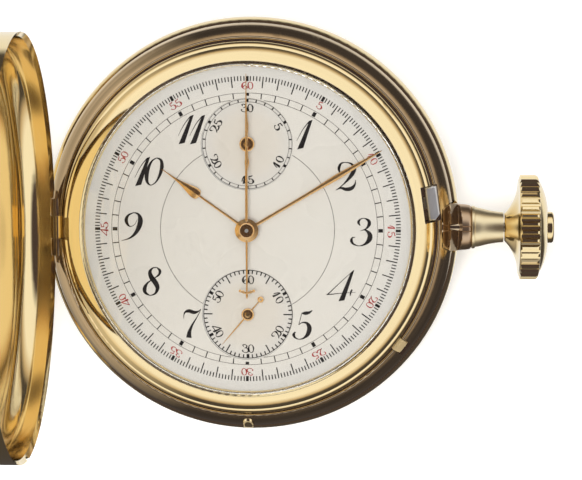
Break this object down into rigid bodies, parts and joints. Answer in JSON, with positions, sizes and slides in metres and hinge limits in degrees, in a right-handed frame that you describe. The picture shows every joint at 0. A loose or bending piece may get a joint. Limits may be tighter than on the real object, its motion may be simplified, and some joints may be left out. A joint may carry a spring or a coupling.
{
  "type": "hunter-case pocket watch chronograph",
  "caption": "Gold hunter-case pocket watch with centre chronograph hand, sub-dials, crown push-button, hinged covers and full movement.",
  "frame": {"origin": "middle of the flat of the back cover, on the axis of the dial", "axes": "+Z out of the dial, +X towards the crown at 3 o'clock, +Y towards 12 o'clock"},
  "size_m": [0.0707, 0.054, 0.0584],
  "materials": {
    "gold_case": "polished yellow gold, weighed as brass",
    "gold_hands": "polished yellow gold",
    "polished_steel": "polished steel",
    "blued_steel": "heat-blued steel",
    "gilt_wheels": "gilt brass",
    "nickel_plates": "frosted nickel-plated brass",
    "crystal": "clear domed glass",
    "enamel": "white enamel on copper",
    "enamel_subdial": "white enamel on copper, sunk",
    "ruby": "polished ruby"
  },
  "bodies": {
    "case": {"case_band": "gold_case", "hinge_pins": "gold_case", "front_bezel": "gold_case", "glass": "crystal", "pendant": "gold_case", "pendant_neck": "gold_case", "lid_lock_spring": "polished_steel", "lid_lift_spring": "polished_steel", "dial": "enamel", "seconds_subdial": "enamel_subdial", "counter_subdial": "enamel_subdial", "main_plate": "nickel_plates", "three_quarter_plate": "nickel_plates", "plate_pillars": "nickel_plates", "movement_screws": "blued_steel", "jewels": "ruby", "pallet_cock": "nickel_plates", "balance_cock": "nickel_plates", "regulator": "polished_steel", "hairspring": "polished_steel", "chronograph_bridge": "nickel_plates"},
    "front_cover": {"front_cover": "gold_case"},
    "back_cover": {"back_cover": "gold_case"},
    "dust_cover": {"dust_cover": "gold_case"},
    "lid_catch": {"lid_catch": "polished_steel"},
    "lid_release_button": {"lid_release_button": "gold_case"},
    "setting_slide": {"setting_slide": "gold_case"},
    "crown": {"winding_crown": "gold_case", "winding_stem": "polished_steel", "winding_pinion": "polished_steel", "sliding_pinion": "polished_steel"},
    "chronograph_button": {"chronograph_button": "gold_case"},
    "crown_wheel": {"crown_wheel": "polished_steel"},
    "ratchet": {"ratchet_wheel": "polished_steel", "barrel_arbor": "polished_steel"},
    "click": {"click": "polished_steel"},
    "barrel": {"barrel": "gilt_wheels", "mainspring": "polished_steel"},
    "centre": {"centre_wheel": "gilt_wheels", "cannon_pinion": "polished_steel", "minute_hand": "gold_hands"},
    "third_wheel": {"third_wheel": "gilt_wheels"},
    "fourth_wheel": {"fourth_wheel": "gilt_wheels", "seconds_hand": "gold_hands"},
    "escape_wheel": {"escape_wheel": "polished_steel"},
    "pallet_fork": {"pallet_fork": "polished_steel"},
    "balance_wheel": {"balance_wheel": "gilt_wheels"},
    "minute_wheel": {"minute_wheel": "gilt_wheels"},
    "hour": {"hour_wheel": "gilt_wheels", "hour_hand": "gold_hands"},
    "chronograph_seconds": {"chronograph_wheel": "gilt_wheels", "chronograph_hand": "gold_hands"},
    "minute_counter": {"minute_counter_wheel": "gilt_wheels", "counter_hand": "gold_hands"},
    "column_wheel": {"column_wheel": "polished_steel"},
    "coupling_lever": {"coupling_lever": "polished_steel"},
    "operating_lever": {"operating_lever": "polished_steel"},
    "reset_hammer": {"reset_hammer": "polished_steel"}
  },
  "joints": [
    {"name": "front_cover_hinge", "type": "hinge", "parent": "case", "child": "front_cover", "pos_m": [-0.02495, 0, 0.00735], "axis": [0, 1, 0], "range_deg": [0, 88]},
    {"name": "back_cover_hinge", "type": "hinge", "parent": "case", "child": "back_cover", "pos_m": [-0.0262, 0, 0.005], "axis": [0, 1, 0], "range_deg": [0, 95]},
    {"name": "dust_cover_hinge", "type": "hinge", "parent": "case", "child": "dust_cover", "pos_m": [-0.0246, 0, 0.00402], "axis": [0, 1, 0], "range_deg": [0, 70]},
    {"name": "lid_catch_slide", "type": "slide", "parent": "case", "child": "lid_catch", "axis": [-0.9903, -0.1392, 0], "range_m": [0, 0.0004]},
    {"name": "lid_release_press", "type": "slide", "parent": "case", "child": "lid_release_button", "axis": [0.0105, 0.9999, 0], "range_m": [0, 0.0005], "stiffness_N_per_m": 300},
    {"name": "setting_slide_pull", "type": "slide", "parent": "case", "child": "setting_slide", "axis": [-0.788, 0.6157, 0], "range_m": [-0.0012, 0]},
    {"name": "crown_turn", "type": "hinge", "parent": "case", "child": "crown", "pos_m": [0, 0, 0.0058], "axis": [1, 0, 0], "continuous": true},
    {"name": "crown_wheel_turn", "type": "hinge", "parent": "case", "child": "crown_wheel", "pos_m": [0.0143, 0, 0], "axis": [0, 0, 1], "continuous": true},
    {"name": "ratchet_turn", "type": "hinge", "parent": "case", "child": "ratchet", "pos_m": [0.00785, 0.00439, 0], "axis": [0, 0, 1], "continuous": true},
    {"name": "chronograph_press", "type": "slide", "parent": "crown", "child": "chronograph_button", "axis": [-1, 0, 0], "range_m": [0, 0.0006], "stiffness_N_per_m": 400},
    {"name": "operating_lever_swing", "type": "hinge", "parent": "case", "child": "operating_lever", "pos_m": [0.0162, -0.0056, 0], "axis": [0, 0, 1], "range_deg": [0, 7]},
    {"name": "click_swing", "type": "hinge", "parent": "case", "child": "click", "pos_m": [0.00905, 0.01119, 0], "axis": [0, 0, 1], "range_deg": [-8, 0], "stiffness_Nm_per_rad": 0.00002},
    {"name": "seconds_turn", "type": "hinge", "parent": "case", "child": "fourth_wheel", "pos_m": [0, -0.0109, 0], "axis": [0, 0, 1], "continuous": true},
    {"name": "third_turn", "type": "hinge", "parent": "case", "child": "third_wheel", "pos_m": [-0.00349, -0.0063, 0], "axis": [0, 0, 1], "continuous": true},
    {"name": "centre_turn", "type": "hinge", "parent": "case", "child": "centre", "pos_m": [0, 0, 0], "axis": [0, 0, 1], "continuous": true},
    {"name": "barrel_turn", "type": "hinge", "parent": "case", "child": "barrel", "pos_m": [0.00785, 0.00439, 0], "axis": [0, 0, 1], "continuous": true},
    {"name": "escape_turn", "type": "hinge", "parent": "case", "child": "escape_wheel", "pos_m": [-0.00461, -0.01286, 0], "axis": [0, 0, 1], "continuous": true},
    {"name": "minute_wheel_turn", "type": "hinge", "parent": "case", "child": "minute_wheel", "pos_m": [-0.00288, 0, 0], "axis": [0, 0, 1], "continuous": true},
    {"name": "hour_turn", "type": "hinge", "parent": "case", "child": "hour", "pos_m": [0, 0, 0], "axis": [0, 0, 1], "continuous": true},
    {"name": "pallet_swing", "type": "hinge", "parent": "case", "child": "pallet_fork", "pos_m": [-0.00722, -0.01058, 0], "axis": [0, 0, 1], "range_deg": [-5, 5]},
    {"name": "balance_swing", "type": "hinge", "parent": "case", "child": "balance_wheel", "pos_m": [-0.01183, -0.00658, 0], "axis": [0, 0, 1], "range_deg": [-270, 270], "stiffness_Nm_per_rad": 0.000001},
    {"name": "chronograph_turn", "type": "hinge", "parent": "case", "child": "chronograph_seconds", "pos_m": [0, 0, 0], "axis": [0, 0, 1], "continuous": true},
    {"name": "minute_counter_turn", "type": "hinge", "parent": "case", "child": "minute_counter", "pos_m": [0, 0.0109, 0], "axis": [0, 0, 1], "continuous": true},
    {"name": "column_wheel_turn", "type": "hinge", "parent": "case", "child": "column_wheel", "pos_m": [0.0115, -0.0095, 0], "axis": [0, 0, 1], "continuous": true},
    {"name": "coupling_lever_swing", "type": "hinge", "parent": "case", "child": "coupling_lever", "pos_m": [0, -0.0109, 0], "axis": [0, 0, 1], "range_deg": [-1, 2]},
    {"name": "reset_hammer_swing", "type": "hinge", "parent": "case", "child": "reset_hammer", "pos_m": [-0.0076, -0.0026, 0], "axis": [0, 0, 1], "range_deg": [-4.5, 0]}
  ],
  "couplings": [
    {"joint": "dust_cover_hinge", "follows": "back_cover_hinge", "ratio": 0.7},
    {"joint": "lid_catch_slide", "follows": "lid_release_press", "ratio": 0.8},
    {"joint": "crown_wheel_turn", "follows": "crown_turn", "ratio": 0.4},
    {"joint": "ratchet_turn", "follows": "crown_turn", "ratio": -0.25},
    {"joint": "operating_lever_swing", "follows": "chronograph_press", "rad_per_m": 174.53},
    {"joint": "third_turn", "follows": "seconds_turn", "ratio": -0.13333},
    {"joint": "centre_turn", "follows": "seconds_turn", "ratio": 0.016667},
    {"joint": "barrel_turn", "follows": "seconds_turn", "ratio": -0.0025641},
    {"joint": "escape_turn", "follows": "seconds_turn", "ratio": -10},
    {"joint": "minute_wheel_turn", "follows": "seconds_turn", "ratio": -0.0055556},
    {"joint": "hour_turn", "follows": "seconds_turn", "ratio": 0.0013889},
    {"joint": "minute_counter_turn", "follows": "chronograph_turn", "ratio": 0.033333}
  ]
}
